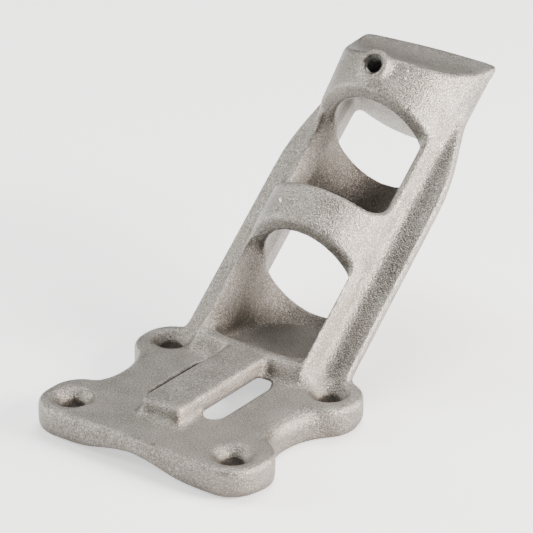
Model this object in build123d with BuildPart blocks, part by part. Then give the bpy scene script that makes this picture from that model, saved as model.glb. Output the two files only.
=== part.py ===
from build123d import *
from math import cos, radians, sin, sqrt, tan
import os

# Investment cast bracket: a four-hole foot plate with a slotted, bridged middle and a
# leaning half-round upright that carries a solid head with one tapped boss.
# Millimetres. X to the right, Y to the back, Z up. The origin is the centre of the
# hole pattern on the mounting face, and the bracket is mirrored about X = 0.

# Foot plate
hole_pitch_x = 56.0
hole_pitch_y = 45.0
hole_diameter = 6.6
countersink_diameter = 12.0
lobe_radius = 9.8
front_lobe_stretch = 3.2
rear_lobe_stretch = 2.0
web_inset = 0.2
plate_height = 9.0
waist_half_width = 29.2
front_sweep_radius = 13.0
rear_sweep_radius = 20.0
waist_edge_radius = 4.0
plate_edge_radius = 1.6
bottom_edge_radius = 2.4

# Relief arch under the plate
relief_depth = 4.1
relief_half_span = 26.0

# Slots and the bar that bridges them
slot_outer_x = 12.9
slot_front_y = -9.7
slot_rear_y = 17.8
slot_corner_radius = 3.5
slot_rear_radius = 4.0
under_slope_run = 14.0
bar_half_width = 7.5
bar_front_y = -19.7
bar_corner_radius = 2.6
bar_top_radius = 1.3

# Foot block in front of the upright
block_height = 5.2
block_half_width = 22.0
block_front_y = 19.2
bank_radius = 5.0
bar_draft = 9.0
block_draft = 30.0
block_top_radius = 1.5
lip_y = 25.5
lip_corner_radius = 9.0

# Upright
lean_angle = 40.0
rail_root_y = 28.3
rail_length = 110.2
flange_thickness = 3.5
flange_half_width = 28.8
flange_taper_run = 36.0
neck_half_width = 22.6
neck_drop = 16.2
horn_half_width = 24.0
flange_inset = 0.4
tube_radius = 20.5
tube_axis_depth = 1.0
tube_wall = 5.3
pocket_overrun = 5.0
window_edge_height = 8.2
root_fillet_radius = 3.0
foot_flare = 3.6
flare_clearance = 0.2

# Openings along the upright: the lower shut-off face and the bridge are measured from
# the rail root up the slope, the upper shut-off face from the top of the rail down
shoulder_angle = 70.5
lower_shoulder = 29.2
bridge_top = 48.3
head_length = 35.2
rear_pocket_rise = 12.3
window_corner_radius = 5.5
rim_radius = 1.5
foot_radius = 1.5

# Head
head_radius = 22.0
head_start_inset = 0.2
head_run = 40.2
scoop_radius = 38.2
scoop_forward = 4.32
scoop_above = 35.77
crown_drop = 1.0
horn_radius = 2.0
boss_drop = 21.4
boss_radius = 4.8
boss_reach = 21.4
boss_tilt = 10.0
thread_hole_diameter = 6.0
thread_hole_depth = 12.0

# Frame of the upright: s runs up the slope, n stands off its front face
slope_cos = cos(radians(lean_angle))
slope_sin = sin(radians(lean_angle))


def side_point(s, n):
    """Point (Y, Z) at s up the slope and n in front of the flange face."""
    y = rail_root_y + s * slope_cos - n * slope_sin
    z = plate_height + s * slope_sin + n * slope_cos
    return (y, z)


# Sizes that follow from others
bore_radius = tube_radius - tube_wall
neck_position = rail_length - neck_drop
flange_taper_start = neck_position - flange_taper_run
upper_shoulder = rail_length - head_length
rear_pocket_end = upper_shoulder + rear_pocket_rise
head_start = rail_length - head_run
boss_position = rail_length - boss_drop
pocket_depth = tube_radius + pocket_overrun
block_top = plate_height + block_height
rail_top_y, rail_top_z = side_point(rail_length, 0)
scoop_y = rail_top_y - scoop_forward
scoop_z = rail_top_z + scoop_above
rail_root = (0, rail_root_y, plate_height)
front_normal = (0, -slope_sin, slope_cos)
rail_face = Plane(origin=rail_root, x_dir=(1, 0, 0), z_dir=front_normal)
rail_end = Plane(
    origin=(0, rail_top_y, rail_top_z),
    x_dir=(1, 0, 0),
    z_dir=(0, -slope_cos, -slope_sin),
)
side = Plane.YZ
down_slope = (0, -slope_cos, -slope_sin)
rail_run = rail_length + 3 * tube_radius
far = 3 * tube_radius

# Half-round pocket section: the bore below, flared walls above that run out on the
# tube at the height of the window edges
edge_x = sqrt(tube_radius**2 - (window_edge_height + tube_axis_depth) ** 2)
flare = (edge_x - bore_radius) / (window_edge_height + tube_axis_depth)
shoulder_slope = 1 / tan(radians(shoulder_angle))


def shoulder_point(position, n):
    """Point (Y, Z) on the slanted shut-off face that crosses the rail at position."""
    return side_point(position + n * shoulder_slope, n)


# Section shared by the pockets that open to the front
with BuildSketch(rail_end) as front_section:
    with Locations((0, -tube_axis_depth)):
        Circle(bore_radius)
    with BuildLine():
        Polyline(
            (-bore_radius, -tube_axis_depth),
            (bore_radius, -tube_axis_depth),
            (bore_radius + far * flare, far - tube_axis_depth),
            (-bore_radius - far * flare, far - tube_axis_depth),
            close=True,
        )
    make_face()

# Mouth of the tapped hole in the head
boss_angle = radians(lean_angle + 90 + boss_tilt)
boss_y, boss_z = side_point(boss_position, boss_reach)
boss_face = Plane(
    origin=(0, boss_y, boss_z),
    x_dir=(1, 0, 0),
    z_dir=(0, cos(boss_angle), sin(boss_angle)),
)

# Floor of the lower front pocket, level with the plate, behind a straight lip with
# rounded corners
with BuildPart() as pocket_floor:
    extrude(front_section.sketch, amount=rail_run, dir=down_slope)
    with BuildSketch(Plane.XY.offset(plate_height)) as floor_outline:
        with Locations((0, lip_y)):
            Rectangle(2 * edge_x, far, align=(Align.CENTER, Align.MIN))
        fillet(floor_outline.vertices().group_by(Axis.Y)[0], lip_corner_radius)
    extrude(amount=block_height, mode=Mode.INTERSECT)

# Lower front pocket, open in front above the foot block, under the slanted shut-off face
with BuildPart() as lower_pocket:
    extrude(front_section.sketch, amount=rail_run, dir=down_slope)
    with BuildSketch(side):
        with BuildLine():
            Polyline(
                shoulder_point(lower_shoulder, -pocket_depth),
                shoulder_point(lower_shoulder, far),
                (-far, side_point(0, 2 * far)[1]),
                (-far, -pocket_depth),
                close=True,
            )
        make_face()
        with Locations((rail_root_y, block_top)):
            Rectangle(6 * far, 6 * far, align=(Align.CENTER, Align.MIN), mode=Mode.INTERSECT)
    extrude(amount=far, both=True, mode=Mode.INTERSECT)
    add(pocket_floor.part)

# Upper front pocket above the bridge, with rounded lower corners
with BuildPart() as upper_pocket:
    extrude(front_section.sketch, amount=rail_run, dir=down_slope)
    with BuildSketch(side):
        with BuildLine():
            Polyline(
                side_point(bridge_top, -pocket_depth),
                side_point(bridge_top, 2 * pocket_depth),
                shoulder_point(upper_shoulder, 2 * pocket_depth),
                shoulder_point(upper_shoulder, -pocket_depth),
                close=True,
            )
        make_face()
    extrude(amount=far, both=True, mode=Mode.INTERSECT)
    lower_end = upper_pocket.faces().sort_by(Axis((0, 0, 0), (0, slope_cos, slope_sin)))[0]
    end_corners = lower_end.edges().filter_by(Axis((0, 0, 0), (1, 0, 0)), reverse=True)
    fillet(end_corners, window_corner_radius)

# Rear pockets, the same section opened to the back, between the shut-off faces
with BuildPart() as rear_pockets:
    with BuildSketch(rail_end):
        with Locations((0, -tube_axis_depth)):
            Circle(bore_radius)
        with BuildLine():
            Polyline(
                (-bore_radius, -tube_axis_depth),
                (bore_radius, -tube_axis_depth),
                (bore_radius + far * flare, -far - tube_axis_depth),
                (-bore_radius - far * flare, -far - tube_axis_depth),
                close=True,
            )
        make_face()
    extrude(amount=rail_run)
    with BuildSketch(side):
        with BuildLine():
            Polyline(
                shoulder_point(lower_shoulder, pocket_depth),
                shoulder_point(lower_shoulder, -2 * pocket_depth),
                side_point(bridge_top, -2 * pocket_depth),
                side_point(bridge_top, pocket_depth),
                close=True,
            )
        make_face()
        with BuildLine():
            Polyline(
                shoulder_point(upper_shoulder, pocket_depth),
                shoulder_point(upper_shoulder, -2 * pocket_depth),
                side_point(rear_pocket_end, -2 * pocket_depth),
                side_point(rear_pocket_end, pocket_depth),
                close=True,
            )
        make_face()
    extrude(amount=far, both=True, mode=Mode.INTERSECT)

# Lobes in two rounded bars, front and rear, stretched towards the waist
with BuildPart() as lobes:
    with BuildSketch(Plane.XY):
        for end, stretch in ((-1, front_lobe_stretch), (1, rear_lobe_stretch)):
            with Locations((0, end * hole_pitch_y / 2), (0, end * (hole_pitch_y / 2 - stretch))):
                SlotCenterToCenter(hole_pitch_x, 2 * lobe_radius)
            with Locations((0, end * (hole_pitch_y - stretch) / 2)):
                Rectangle(hole_pitch_x + 2 * lobe_radius, stretch)
    extrude(amount=plate_height)
    fillet(lobes.faces().filter_by(Plane.XY).group_by(Axis.Z)[-1].edges(), plate_edge_radius)
    fillet(lobes.faces().filter_by(Plane.XY).group_by(Axis.Z)[0].edges(), bottom_edge_radius)

# Foot plate: a waisted web with rolled edges between four crisper lobes, hollowed
# underneath by a shallow arch
with BuildPart() as foot_plate:
    with BuildSketch(Plane.XY) as outline:
        Rectangle(2 * waist_half_width, hole_pitch_y + lobe_radius)
        with Locations((0, front_lobe_stretch - hole_pitch_y / 2)):
            SlotCenterToCenter(hole_pitch_x, 2 * (lobe_radius - web_inset))
        with Locations((0, hole_pitch_y / 2 - rear_lobe_stretch)):
            SlotCenterToCenter(hole_pitch_x, 2 * (lobe_radius - web_inset))
        front_nooks = outline.vertices().filter_by(
            lambda v: abs(abs(v.X) - waist_half_width) < 0.01
            and -hole_pitch_y / 2 < v.Y < 0
        )
        fillet(front_nooks, front_sweep_radius)
        rear_nooks = outline.vertices().filter_by(
            lambda v: abs(abs(v.X) - waist_half_width) < 0.01
            and 0 < v.Y < hole_pitch_y / 2
        )
        fillet(rear_nooks, rear_sweep_radius)
    extrude(amount=plate_height)
    fillet(foot_plate.faces().sort_by(Axis.Z)[-1].edges(), waist_edge_radius)
    add(lobes.part)
    with BuildSketch(Plane.XZ):
        with BuildLine():
            arch = Spline(
                (-relief_half_span, 0),
                (0, relief_depth),
                (relief_half_span, 0),
                tangents=((1, 0), (1, 0), (1, 0)),
            )
            Polyline(
                arch @ 1,
                (relief_half_span, -relief_depth),
                (-relief_half_span, -relief_depth),
                arch @ 0,
            )
        make_face()
    extrude(amount=hole_pitch_y, both=True, mode=Mode.SUBTRACT)
    with BuildSketch(Plane.XY) as slots:
        slots_length = slot_rear_y - slot_front_y
        with Locations((0, slot_front_y + slots_length / 2)):
            Rectangle(2 * slot_outer_x, slots_length)
        fillet(slots.vertices().group_by(Axis.Y)[0], slot_corner_radius)
        fillet(slots.vertices().group_by(Axis.Y)[-1], slot_rear_radius)
    extrude(amount=plate_height, mode=Mode.SUBTRACT)

# Bar that bridges the slots, with steep banks and rounded edges
with BuildPart() as bar:
    with BuildSketch(Plane.XY.offset(plate_height)) as bar_outline:
        with Locations((0, bar_front_y)):
            Rectangle(
                2 * bar_half_width,
                lip_y - bar_front_y,
                align=(Align.CENTER, Align.MIN),
            )
        fillet(bar_outline.vertices().group_by(Axis.Y)[0], bar_corner_radius)
    extrude(amount=block_height, taper=bar_draft)
    fillet(bar.faces().sort_by(Axis.Z)[-1].edges(), bar_top_radius)

# Foot block, with a long bank
with BuildPart() as block:
    with BuildSketch(Plane.XY.offset(plate_height)) as block_outline:
        with Locations((0, block_front_y)):
            Rectangle(
                2 * block_half_width,
                2 * (lip_y - block_front_y),
                align=(Align.CENTER, Align.MIN),
            )
        fillet(block_outline.vertices().group_by(Axis.Y)[0], bank_radius)
    extrude(amount=block_height, taper=block_draft)
    fillet(block.faces().sort_by(Axis.Z)[-1].edges(), block_top_radius)

# Head: the tube swells until it takes in the flanges, in front only
with BuildPart() as head:
    head_sections = (
        (rail_length, horn_half_width, head_radius),
        (neck_position, neck_half_width, tube_radius),
        (head_start, tube_radius - head_start_inset, tube_radius - head_start_inset),
    )
    for position, half_width, half_depth in head_sections:
        with BuildSketch(rail_end.offset(rail_length - position)):
            with Locations((0, -tube_axis_depth)):
                Ellipse(half_width, half_depth)
    loft()
    split(bisect_by=rail_face.offset(-flange_thickness), keep=Keep.TOP)

# The bracket itself
with BuildPart() as bracket:
    # Upright: tube and side flanges in one section, with a fillet along each root
    with BuildSketch(rail_end) as upright_section:
        with Locations((0, -tube_axis_depth)):
            Circle(tube_radius)
        with Locations((0, -flange_thickness / 2)):
            Rectangle(2 * flange_half_width, flange_thickness)
        roots = upright_section.vertices().filter_by(
            lambda v: abs(rail_end.to_local_coords(v.center()).X) < flange_half_width - 1
        )
        fillet(roots, root_fillet_radius)
    extrude(amount=rail_run)
    # Flange feet flared on to the rear lobes
    with BuildSketch(rail_face) as flange_feet:
        Rectangle(
            2 * (flange_half_width + foot_flare),
            4 * foot_flare,
            align=(Align.CENTER, Align.MAX),
        )
        with Locations((0, 0)):
            Rectangle(
                2 * flange_half_width,
                3 * foot_flare,
                align=(Align.CENTER, Align.MIN),
            )
        fillet(
            flange_feet.vertices().filter_by(
                lambda v: abs(rail_face.to_local_coords(v.center()).Y) < 0.01
                and abs(abs(v.X) - flange_half_width) < 0.01
            ),
            foot_flare - flare_clearance,
        )
    extrude(amount=-flange_thickness)
    # Flanges trimmed: drawn in to a neck, then out to the horns at the top
    with BuildSketch(rail_face.offset(-far)):
        with BuildLine():
            drawn_in = Spline(
                (flange_half_width, flange_taper_start),
                (neck_half_width - flange_inset, neck_position),
                (horn_half_width - flange_inset, rail_length),
                tangents=((0, 1), (0.25, 1)),
            )
            Polyline(
                drawn_in @ 1,
                (horn_half_width - flange_inset, rail_length + far),
                (far, rail_length + far),
                (far, flange_taper_start),
                drawn_in @ 0,
            )
        make_face()
        mirror(about=Plane.YZ)
    extrude(amount=2 * far, mode=Mode.SUBTRACT)
    add(head.part)
    # Crowned top with rounded horns
    with BuildSketch(rail_face.offset(-far)):
        with Locations((0, rail_length)):
            Rectangle(2 * far, 2 * neck_drop)
        with BuildLine() as crown:
            ThreePointArc(
                (-horn_half_width, rail_length - crown_drop),
                (0, rail_length),
                (horn_half_width, rail_length - crown_drop),
            )
            Polyline(
                crown.line @ 1,
                (horn_half_width, rail_length - 2 * neck_drop),
                (-horn_half_width, rail_length - 2 * neck_drop),
                crown.line @ 0,
            )
            horns = crown.vertices().group_by(Axis((0, 0, 0), (0, slope_cos, slope_sin)))[-1]
            fillet(horns, horn_radius)
        make_face(mode=Mode.SUBTRACT)
    extrude(amount=2 * far, mode=Mode.SUBTRACT)
    # Cut the foot of the upright square
    with BuildSketch(Plane.XY):
        with Locations((0, rail_root_y)):
            Rectangle(4 * far, 8 * far)
    extrude(amount=-2 * far, mode=Mode.SUBTRACT)
    with BuildSketch(side.offset(-far)):
        block_top_front = block_front_y + block_height * tan(radians(block_draft))
        with BuildLine():
            Polyline(
                (block_front_y, -far),
                (block_front_y, plate_height),
                (block_top_front, block_top),
                (block_top_front, 2 * far),
                (-far, 2 * far),
                (-far, -far),
                close=True,
            )
        make_face()
    extrude(amount=2 * far, mode=Mode.SUBTRACT)
    # Plate, block and bar
    add(foot_plate.part)
    add(block.part)
    add(bar.part)
    # Scooped top and the boss
    with BuildSketch(side):
        with Locations((scoop_y, scoop_z)):
            Circle(scoop_radius)
    extrude(amount=far, both=True, mode=Mode.SUBTRACT)
    with BuildSketch(boss_face):
        Circle(boss_radius)
    extrude(amount=-boss_reach / 2)
    # Pockets cast from the front and from the back
    add(lower_pocket.part, mode=Mode.SUBTRACT)
    add(upper_pocket.part, mode=Mode.SUBTRACT)
    add(rear_pockets.part, mode=Mode.SUBTRACT)
    # Sloping hollow under the foot block, behind the slots
    with BuildSketch(side):
        with BuildLine():
            Polyline(
                (slot_rear_y, plate_height),
                (slot_rear_y + under_slope_run, 0),
                (slot_rear_y - 1, 0),
                (slot_rear_y - 1, plate_height),
                close=True,
            )
        make_face()
    extrude(amount=slot_outer_x, both=True, mode=Mode.SUBTRACT)
    # Mounting holes and the tapped hole
    with Locations(Plane.XY.offset(plate_height)):
        with GridLocations(hole_pitch_x, hole_pitch_y, 2, 2):
            CounterSinkHole(hole_diameter / 2, countersink_diameter / 2, counter_sink_angle=90)
    with BuildSketch(boss_face):
        Circle(thread_hole_diameter / 2)
    extrude(amount=-thread_hole_depth, mode=Mode.SUBTRACT)

    # Cast radii where the bar and the block meet the plate
    foot_edges = bracket.edges().filter_by(
        lambda e: abs(e.center().Z - plate_height) < 0.001
        and abs(e.position_at(0).Z - plate_height) < 0.001
        and e.length > 0.5
    )
    bar_foot = foot_edges.filter_by(
        lambda e: abs(e.center().X) < bar_half_width + 0.01 and e.center().Y < slot_front_y
    ).filter_by(lambda e: e.center().Y > bar_front_y - 0.1)
    fillet(bar_foot, foot_radius)
    block_foot = foot_edges.filter_by(
        lambda e: abs(e.center().Y - block_front_y) < 0.01
    )
    fillet(block_foot, foot_radius)
    # Rounded edges where the pockets break out of the tube, front and back
    shortest_rim = 1.4 * tube_radius
    pocket_rims = bracket.edges().filter_by(
        lambda e: e.geom_type in (GeomType.CIRCLE, GeomType.ELLIPSE)
        and e.length > shortest_rim
        and abs(e.center().X) < 0.1
        and e.center().Z > 2 * rim_radius
    )
    tube_rims = pocket_rims.filter_by(
        lambda e: abs(rail_face.to_local_coords(e @ 0.5).Z + tube_axis_depth) > bore_radius + rim_radius
    )
    fillet(tube_rims, rim_radius)

bracket.part.label = "bracket"
os.makedirs("parts", exist_ok=True)
export_step(bracket.part, "parts/bracket.step")
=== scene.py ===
# %% [markdown]
# # An investment cast bracket
#
# The object is one steel casting: a foot plate with four countersunk lobes, and a leaning
# upright whose pockets open to the front and to the back by turns. Its form and its sizes
# come from the CAD frame. What is made here is what the foundry and the shot blast add to that
# form: fillets in every inner corner, a grained skin, a cut thread, and a small studio.

# %% Load the frame
from math import pi

import bpy
from mathutils import Matrix, Vector


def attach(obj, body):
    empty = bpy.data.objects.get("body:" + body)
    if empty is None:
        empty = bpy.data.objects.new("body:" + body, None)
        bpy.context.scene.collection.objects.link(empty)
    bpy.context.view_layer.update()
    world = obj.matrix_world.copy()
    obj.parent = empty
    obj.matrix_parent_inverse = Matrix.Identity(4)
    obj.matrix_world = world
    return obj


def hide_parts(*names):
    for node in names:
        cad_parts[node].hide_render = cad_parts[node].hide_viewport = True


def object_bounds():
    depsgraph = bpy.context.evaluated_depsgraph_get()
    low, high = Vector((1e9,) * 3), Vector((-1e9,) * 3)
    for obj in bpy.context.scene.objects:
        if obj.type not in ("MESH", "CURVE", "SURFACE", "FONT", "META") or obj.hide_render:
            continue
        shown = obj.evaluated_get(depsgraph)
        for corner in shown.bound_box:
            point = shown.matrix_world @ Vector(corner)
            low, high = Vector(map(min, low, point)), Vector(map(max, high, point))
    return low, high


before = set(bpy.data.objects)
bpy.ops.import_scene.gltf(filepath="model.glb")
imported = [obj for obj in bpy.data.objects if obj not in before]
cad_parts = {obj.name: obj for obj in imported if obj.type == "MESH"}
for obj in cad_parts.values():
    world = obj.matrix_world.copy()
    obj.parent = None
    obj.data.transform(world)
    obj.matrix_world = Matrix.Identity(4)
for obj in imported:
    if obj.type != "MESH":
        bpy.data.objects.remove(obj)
cad_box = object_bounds()
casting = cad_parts["bracket"]
MM = 0.001  # one millimetre in Blender's metres
print("CAD box in mm:", [[round(v / MM, 1) for v in corner] for corner in cad_box])
print("CAD triangles:", len(casting.data.polygons))

# %% [markdown]
# ## The camera
#
# The photograph was taken from the right, a little above the bracket, and from rather far
# away, so its edges hardly converge. The camera was fitted to the straight edges of the foot
# plate. It is placed by its own three axes: right, up and back. The lens follows from the
# picture's width of 533 pixels and a focal length of 3000 pixels.

# %% Place the camera
LENS_PIXELS = 3000
PICTURE_PIXELS = 533
cam_place = Vector((458.3, -588.1, 400.8)) * MM
cam_right = Vector((0.80365, 0.59510, 0))
cam_up = Vector((-0.25423, 0.34332, 0.90416))
cam_back = Vector((0.53807, -0.72663, 0.42720))

camera_data = bpy.data.cameras.new("photo_camera")
camera_data.sensor_width = 36
camera_data.lens = camera_data.sensor_width * LENS_PIXELS / PICTURE_PIXELS
camera_data.clip_end = 20
camera = bpy.data.objects.new("photo_camera", camera_data)
turn = Matrix((cam_right, cam_up, cam_back)).transposed().to_4x4()
camera.matrix_world = Matrix.Translation(cam_place) @ turn
bpy.context.scene.collection.objects.link(camera)
bpy.context.scene.camera = camera
print("lens in mm:", round(camera_data.lens, 1))

# %% [markdown]
# ## The cast surface
#
# A wax pattern has no sharp inner corner, because wax, slurry and metal would all crack or
# tear there. Wherever two walls of this bracket meet, the photograph shows a fillet of one to
# two millimetres, and every outer edge is worn a little round by the shot blast.
#
# Modelling each of those fillets one by one would mean choosing a hundred edges. A trick from
# pattern making is simpler. Grow the whole skin outwards by the fillet radius, so that inner
# corners close up, and then shrink it by the same amount. The flat walls come back to where
# they were, but the corners keep what filled them. A voxel remesh between the two steps throws
# away the skin that ended up inside the metal. A few rounds of smoothing then take the
# sharpness off the outer edges.
#
# The rim of the scoop is worn rounder than the rest, so its points get more rounds. That is
# done before the mesh is thinned: smoothing long thin triangles would fold them over.

# %% Grow, shrink and smooth a copy of the casting
FILLET = 1.3        # how far the skin is grown and shrunk, in millimetres
VOXEL = 0.45        # size of the quads of each new skin, in millimetres
PLAIN_ROUNDS = 4    # rounds of smoothing: of the skin as it comes from the CAD,
GROWN_ROUNDS = 6    # of the grown skin,
SHRUNK_ROUNDS = 8   # of the skin that is shrunk back,
RIM_ROUNDS = 20     # and of the rim of the scoop
POINTS = 95000      # points left after thinning, for a little under 200,000 triangles

# Where the rim of the scoop is, in millimetres
HEAD_HEIGHT = 70
CREST_DEPTH = 92
RIM_DEPTH = 83
BOSS_SIDE = 8


def use_modifier(thing, kind, **settings):
    """Add a modifier with its settings and apply it."""
    made = thing.modifiers.new(kind.lower(), kind)
    for name, value in settings.items():
        setattr(made, name, value)
    bpy.context.view_layer.objects.active = thing
    bpy.ops.object.modifier_apply(modifier=made.name)


def knit(thing, rounds):
    """An even new skin of small quads, relaxed by that many rounds of smoothing."""
    use_modifier(thing, "REMESH", mode="VOXEL", voxel_size=VOXEL * MM)
    use_modifier(thing, "SMOOTH", factor=0.5, iterations=rounds)
    bpy.ops.object.shade_smooth()


def on_rim(x, y, z):
    """Whether a place is on the crest of the head, or on its front lip beside the boss."""
    return z > HEAD_HEIGHT and (y > CREST_DEPTH or (y > RIM_DEPTH and abs(x) > BOSS_SIDE))


bpy.ops.object.select_all(action="DESELECT")
casting.select_set(True)
bpy.context.view_layer.objects.active = casting
bpy.ops.object.duplicate()
surface = bpy.context.active_object
surface.name = "cast_surface"

knit(surface, PLAIN_ROUNDS)
use_modifier(surface, "DISPLACE", strength=FILLET * MM, mid_level=0)
knit(surface, GROWN_ROUNDS)
use_modifier(surface, "DISPLACE", strength=-FILLET * MM, mid_level=0)
knit(surface, SHRUNK_ROUNDS)

bpy.ops.object.mode_set(mode="EDIT")
bpy.ops.mesh.select_all(action="DESELECT")
bpy.ops.object.mode_set(mode="OBJECT")
for point in surface.data.vertices:
    point.select = on_rim(*(point.co / MM))
bpy.ops.object.mode_set(mode="EDIT")
bpy.ops.mesh.vertices_smooth(factor=0.5, repeat=RIM_ROUNDS)
bpy.ops.object.mode_set(mode="OBJECT")

print("points before thinning:", len(surface.data.vertices))
use_modifier(surface, "DECIMATE", ratio=POINTS / len(surface.data.vertices))
bpy.ops.object.shade_smooth()

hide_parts("bracket")
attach(surface, "root")
triangles = sum(len(face.vertices) - 2 for face in surface.data.polygons)
print("cast surface:", len(surface.data.vertices), "points,", triangles, "triangles")

# %% [markdown]
# ## The thread
#
# The boss on the head is tapped M6. A tap cuts a V-shaped groove of one millimetre pitch, and
# what it leaves standing is a ridge that winds down the hole. The ridge is easier to make
# than the groove: a small triangle, wound round the axis by a Screw modifier, then set into
# the hole with its crest towards the axis. All sizes are in millimetres.

# %% Wind the thread ridge
THREAD_PITCH = 1.0
THREAD_TURNS = 11
STEPS_A_TURN = 32
RIDGE_REACH = 0.42     # from the middle of the triangle to its corners
RIDGE_MIDDLE = 2.83    # from the axis to the middle of the triangle
FIRST_TURN = 0.5       # how deep in the hole the thread starts
hole_mouth = Vector((0, 82.569, 82.473)) * MM
into_boss = Vector((0, 0.76604, -0.64279))

bpy.ops.object.select_all(action="DESELECT")
bpy.ops.mesh.primitive_circle_add(
    vertices=3, radius=RIDGE_REACH * MM, fill_type="NOTHING",
    location=(RIDGE_MIDDLE * MM, 0, 0), rotation=(pi / 2, -pi / 2, 0))
thread = bpy.context.active_object
thread.name = "thread_ridge"
bpy.ops.object.transform_apply()
use_modifier(thread, "SCREW", angle=2 * pi, screw_offset=THREAD_PITCH * MM,
             iterations=THREAD_TURNS, steps=STEPS_A_TURN, render_steps=STEPS_A_TURN)
thread.location = hole_mouth + into_boss * FIRST_TURN * MM
thread.rotation_euler = into_boss.to_track_quat("Z", "Y").to_euler()
bpy.ops.object.transform_apply()

bpy.ops.object.mode_set(mode="EDIT")
bpy.ops.mesh.select_all(action="SELECT")
bpy.ops.mesh.fill_holes(sides=4)
bpy.ops.mesh.normals_make_consistent(inside=False)
bpy.ops.object.mode_set(mode="OBJECT")
bpy.ops.object.shade_smooth_by_angle(angle=pi / 6)
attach(thread, "root")
print("thread ridge:", len(thread.data.polygons), "faces")

# %% [markdown]
# ## Writing shaders as sums
#
# A finish is easier to read as arithmetic than as a drawing of boxes. The small class
# below wraps one socket. Adding or multiplying two of them adds the Math node that does it,
# and `node` adds any other node with its settings and its inputs.


# %% A socket that can be added and multiplied
class Wire:
    """One output socket of a material's nodes."""

    def __init__(self, tree, socket):
        self.tree = tree
        self.socket = socket

    def node(self, kind, settings=None, outlet=0, **inputs):
        """Any node. Inputs go by name, or by place as i0, i1 and so on."""
        made = self.tree.nodes.new(kind)
        for name, value in (settings or {}).items():
            if name == "stops":
                ramp = made.color_ramp
                while len(ramp.elements) < len(value):
                    ramp.elements.new(0.5)
                for element, (place, colour) in zip(ramp.elements, value):
                    element.position = place
                    element.color = (*colour, 1)
            else:
                setattr(made, name, value)
        for name, value in inputs.items():
            key = int(name[1:]) if name[1:].isdigit() else name
            if isinstance(value, Wire):
                self.tree.links.new(value.socket, made.inputs[key])
            else:
                made.inputs[key].default_value = value
        return Wire(self.tree, made.outputs[outlet])

    def math(self, operation, other=0.0):
        return self.node("ShaderNodeMath", {"operation": operation}, i0=self, i1=other)

    def __add__(self, other):
        return self.math("ADD", other)

    def __sub__(self, other):
        return self.math("SUBTRACT", other)

    def __mul__(self, other):
        return self.math("MULTIPLY", other)

    def __rsub__(self, other):
        return (self * -1) + other

    __radd__ = __add__
    __rmul__ = __mul__

    def between(self, low, high):
        """0 below low, 1 above high, smooth in between."""
        settings = {"interpolation_type": "SMOOTHSTEP"}
        return self.node("ShaderNodeMapRange", settings, i0=self, i1=low, i2=high)

    def mix(self, other, amount):
        """This colour, going over to the other one by amount."""
        settings = {"data_type": "RGBA"}
        return self.node("ShaderNodeMix", settings, 2, i0=amount, i6=self, i7=other)

    def noise(self, size, detail=2.0, rough=0.5):
        """Noise with features of about that size in millimetres, from 0 to 1."""
        return self.node("ShaderNodeTexNoise", None, 0, Vector=self, Scale=1 / (size * MM),
                         Detail=detail, Roughness=rough)

    def cells(self, size):
        """Distance to the nearest of points spread about that many millimetres apart."""
        return self.node("ShaderNodeTexVoronoi", None, 0, Vector=self, Scale=1 / (size * MM))


def new_finish(name):
    """An empty material: its place on the object, and its shader."""
    material = bpy.data.materials.new(name)
    material.use_nodes = True
    tree = material.node_tree
    place = Wire(tree, tree.nodes.new("ShaderNodeTexCoord").outputs["Object"])
    return material, place, tree.nodes["Principled BSDF"]


def plug(wire, shader, name):
    """Link a wire to one of the shader's inputs."""
    wire.tree.links.new(wire.socket, shader.inputs[name])


print("helpers ready:", Wire.__name__, new_finish.__name__, plug.__name__)

# %% [markdown]
# ## The cast skin
#
# Investment castings leave the shell with a fine, even skin, and a blast with fine shot
# turns it into a matt grey grain, and some of the grains get a painted glint. The grain is 0.3
# to 0.6 mm, which is one or two pixels of the photograph. Three things sit on top of it: slow,
# warm and cool mottling from the heat treatment, painted shade that darkens the pockets, and
# edges lightened partly by handling wear and partly by a painted highlight.
#
# The grain is both a colour and a bump. In a real metal each dimple throws its own small
# highlight, and here the brightest grains also get a painted highlight in their colour. The
# pockets are found with an Ambient Occlusion node and get painted shade, and the edges with a
# Bevel node: where the rounded normal departs from the true one, there is an edge.


# %% Where a place is sheltered, near an edge or near a mark
# This edge mask carries both rubbed wear and a painted edge highlight.
def edges_worn_and_highlit(place, radius):
    """Above 0 near an edge, 0 on a flat, within that many millimetres."""
    round_normal = place.node("ShaderNodeBevel", {"samples": 6}, 0, Radius=radius * MM)
    true_normal = place.node("ShaderNodeNewGeometry", None, 1)
    turned = place.node("ShaderNodeVectorMath", {"operation": "DOT_PRODUCT"}, 1,
                        i0=round_normal, i1=true_normal)
    return 1 - turned


def open_sky(place, reach):
    """1 on an open face, 0 deep in a corner, looking that many millimetres around."""
    return place.node("ShaderNodeAmbientOcclusion", {"samples": 12}, 1, Distance=reach * MM)


def spot(place, at, radius):
    """1 inside a small round mark at a point given in millimetres, 0 outside."""
    away = place.node("ShaderNodeVectorMath", {"operation": "DISTANCE"}, 1,
                      i0=place, i1=tuple(v * MM for v in at))
    return 1 - away.between(radius * 0.6 * MM, radius * MM)


print("masks ready:", edges_worn_and_highlit.__name__, open_sky.__name__, spot.__name__)

# %% [markdown]
# The tone starts as a ramp from the bottoms of the grain to its tops. Each later mix lays one
# more colour over it, as far as a mask says; among them are painted shade, painted glints and
# a painted edge highlight. All colours are what the metal reflects.

# %% Finish of the casting
GRAIN_TONES = [
    (0.37, (0.105, 0.096, 0.084)),
    (0.50, (0.225, 0.210, 0.188)),
    (0.63, (0.410, 0.385, 0.348)),
]
WARM_CLOUD = (0.25, 0.218, 0.190, 1)
# painted shade: the colour laid into the pockets
PAINTED_POCKET_SHADE = (0.080, 0.069, 0.058, 1)
PIT_BOTTOM = (0.060, 0.053, 0.045, 1)
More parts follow.
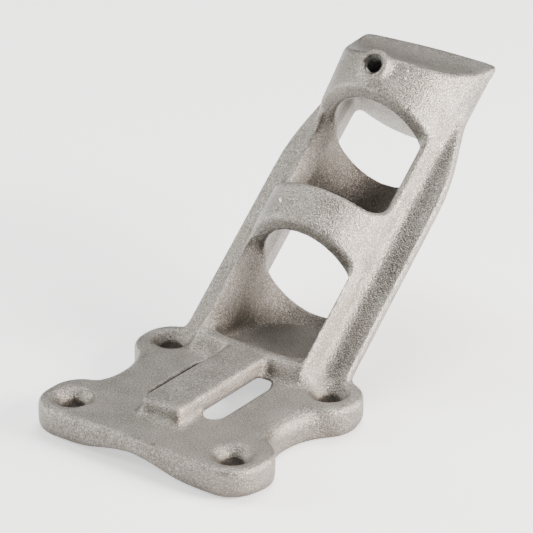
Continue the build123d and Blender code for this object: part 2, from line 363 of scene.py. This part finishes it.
# painted glint: a painted highlight for the brightest grains
PAINTED_GLINT = (0.72, 0.69, 0.65, 1)
# edge colour: partly rubbed wear, partly a painted highlight
WORN_AND_HIGHLIT_EDGE = (0.66, 0.63, 0.59, 1)
NICK_BRIGHT = (0.85, 0.83, 0.80, 1)
DARK_PIT = (0.10, 0.09, 0.08, 1)

# Places and sizes in millimetres. Nicks were left bright by other parts in the bin, one on the
# bridge and one beside the boss. The two pits are near the front edge of the plate.
NICKS = [(-8.6, 48.8, 49.2), (-8.0, 48.3, 49.1), (-7.5, 47.8, 49.1),
         (9.5, 86.8, 81.1), (9.7, 85.9, 80.2), (9.9, 85.1, 79.3)]
NICK_SIZE = 0.5
PITS = [((2.0, -30.4, 9.0), 0.6), ((7.2, -30.7, 9.0), 1.0)]
POCKET_REACH = 30
CORNER_REACH = 3
EDGE_WIDTH = 0.9

cast_skin, place, shader = new_finish("cast_skin")

grain = place.noise(0.30, 2.0, 0.6)
speckle = place.noise(0.6, 1.0)
mottle = place.noise(7.0, 3.0)
cloud = place.noise(26.0, 2.0)
dimples = place.cells(0.6)

# Painted shade: the pockets that the Ambient Occlusion node finds are darkened in the colour.
deep = 1 - open_sky(place, POCKET_REACH).between(0.22, 0.97)
corner = 1 - open_sky(place, CORNER_REACH).between(0.3, 0.9)
# Edges are lightened partly by rubbed wear and partly by a painted edge highlight.
edge = edges_worn_and_highlit(place, EDGE_WIDTH).between(0.01, 0.09) * (1 - corner)
wear_and_edge_highlight = edge * mottle.between(0.35, 0.62)

pits = 1 - dimples.between(0.04, 0.24)
# Painted glints: a painted highlight on the brightest grains, left out where the painted shade
# lies.
painted_glints = grain.between(0.55, 0.66) * speckle.between(0.42, 0.55)

tone = place.node("ShaderNodeValToRGB", {"stops": GRAIN_TONES}, 0,
                  Fac=grain * 0.60 + speckle * 0.22 + mottle * 0.18)
tone = tone.mix(WARM_CLOUD, cloud.between(0.45, 0.7) * 0.30)
# Painted shade in the pockets, then pits, painted glints, and edges that are worn and also
# given a painted highlight.
tone = tone.mix(PAINTED_POCKET_SHADE, deep * 0.68)
tone = tone.mix(PIT_BOTTOM, pits * 0.38)
tone = tone.mix(PAINTED_GLINT, painted_glints * 0.38 * (1 - deep))
tone = tone.mix(WORN_AND_HIGHLIT_EDGE, wear_and_edge_highlight * 0.60)
for at in NICKS:
    tone = tone.mix(NICK_BRIGHT, spot(place, at, NICK_SIZE) * speckle.between(0.35, 0.5))
for at, radius in PITS:
    tone = tone.mix(DARK_PIT, spot(place, at, radius) * 0.6)

rough = 0.41 + (grain - 0.5) * 0.3 - wear_and_edge_highlight * 0.12 - painted_glints * 0.1 + deep * 0.08
height = (grain - 0.5) * 1.2 + (speckle - 0.5) * 0.7 - dimples * 0.6 + (mottle - 0.5) * 1.5
bump = place.node("ShaderNodeBump", None, 0, Strength=0.8, Distance=0.2 * MM, Height=height)

shader.inputs["Metallic"].default_value = 0.95
plug(tone, shader, "Base Color")
plug(rough, shader, "Roughness")
plug(bump, shader, "Normal")

surface.data.materials.clear()
surface.data.materials.append(cast_skin)
for slot in casting.material_slots:
    slot.material = cast_skin
print("cast skin:", len(cast_skin.node_tree.nodes), "nodes")

# %% [markdown]
# ## The cut thread
#
# A tap leaves bright flanks with fine tool lines, and then cutting oil and dust darken them.
# The lines are a fine noise, and the dirt is a coarser one that picks from a dark ramp.

# %% Finish of the thread
cut_thread, place, shader = new_finish("cut_thread")
lines = place.noise(0.12, 1.0)
grime = place.noise(1.4, 2.0)
thread_tones = [(0.35, (0.030, 0.028, 0.026)), (0.65, (0.20, 0.19, 0.175))]
tone = place.node("ShaderNodeValToRGB", {"stops": thread_tones}, 0,
                  Fac=grime * 0.7 + lines * 0.3)
bump = place.node("ShaderNodeBump", None, 0, Strength=0.4, Distance=0.04 * MM, Height=lines)
shader.inputs["Metallic"].default_value = 0.85
plug(tone, shader, "Base Color")
plug(0.30 + grime * 0.25, shader, "Roughness")
plug(bump, shader, "Normal")
thread.data.materials.append(cut_thread)
print("cut thread:", len(cut_thread.node_tree.nodes), "nodes")

# %% [markdown]
# ## The studio
#
# A pale floor that glows a little, a white surround, and three soft boxes: one on each side of
# the bracket and one above it. The photograph's right flank is light and the faces turned
# straight to the camera are darker, so most of the light comes from the right, rather low, and
# less comes from the left and from above. The right light is warm and the left one is nearly
# white, which is why the two flanks differ in tint.

# %% Lay the floor
FLOOR_SIZE = 6
FLOOR_GAP = 0.0002
FLOOR_GLOW = 0.9

bpy.ops.object.select_all(action="DESELECT")
bpy.ops.mesh.primitive_plane_add(size=FLOOR_SIZE, location=(0, 0, cad_box[0][2] - FLOOR_GAP))
floor = bpy.context.active_object
floor.name = "floor"
paper, place, paper_shader = new_finish("floor_paper")
paper_shader.inputs["Base Color"].default_value = (0.95, 0.95, 0.95, 1)
plug(0.85 + place.noise(1.5) * 0.1, paper_shader, "Roughness")
paper_shader.inputs["Emission Color"].default_value = (1, 1, 1, 1)
paper_shader.inputs["Emission Strength"].default_value = FLOOR_GLOW
floor.data.materials.append(paper)
print("floor:", FLOOR_SIZE, "metres wide")

# %% Hang the lights
SURROUND_LIGHT = 0.22
look_at = Vector((0, 40, 40)) * MM


def soft_light(name, direction, distance, width, height, power, colour=(1, 1, 1)):
    """A soft box, sized in metres, that faces the bracket from a direction."""
    data = bpy.data.lights.new(name, "AREA")
    data.shape = "RECTANGLE"
    data.size = width
    data.size_y = height
    data.energy = power
    data.color = colour
    light = bpy.data.objects.new(name, data)
    light.location = look_at + Vector(direction).normalized() * distance
    light.rotation_euler = (look_at - light.location).to_track_quat("-Z", "Y").to_euler()
    bpy.context.scene.collection.objects.link(light)


soft_light("left_box", (-0.95, -0.45, 0.45), distance=0.9, width=0.4, height=0.6,
           power=10.0, colour=(0.99, 1.0, 0.96))
soft_light("right_box", (0.95, 0.28, 0.30), distance=0.9, width=0.4, height=0.6,
           power=36.0, colour=(1.0, 0.92, 0.86))
soft_light("top_box", (-0.1, 0.3, 1.0), distance=1.1, width=0.6, height=0.6, power=14.0)

world = bpy.data.worlds.new("white_surround")
world.use_nodes = True
background = world.node_tree.nodes["Background"]
background.inputs["Color"].default_value = (1, 1, 1, 1)
background.inputs["Strength"].default_value = SURROUND_LIGHT
bpy.context.scene.world = world
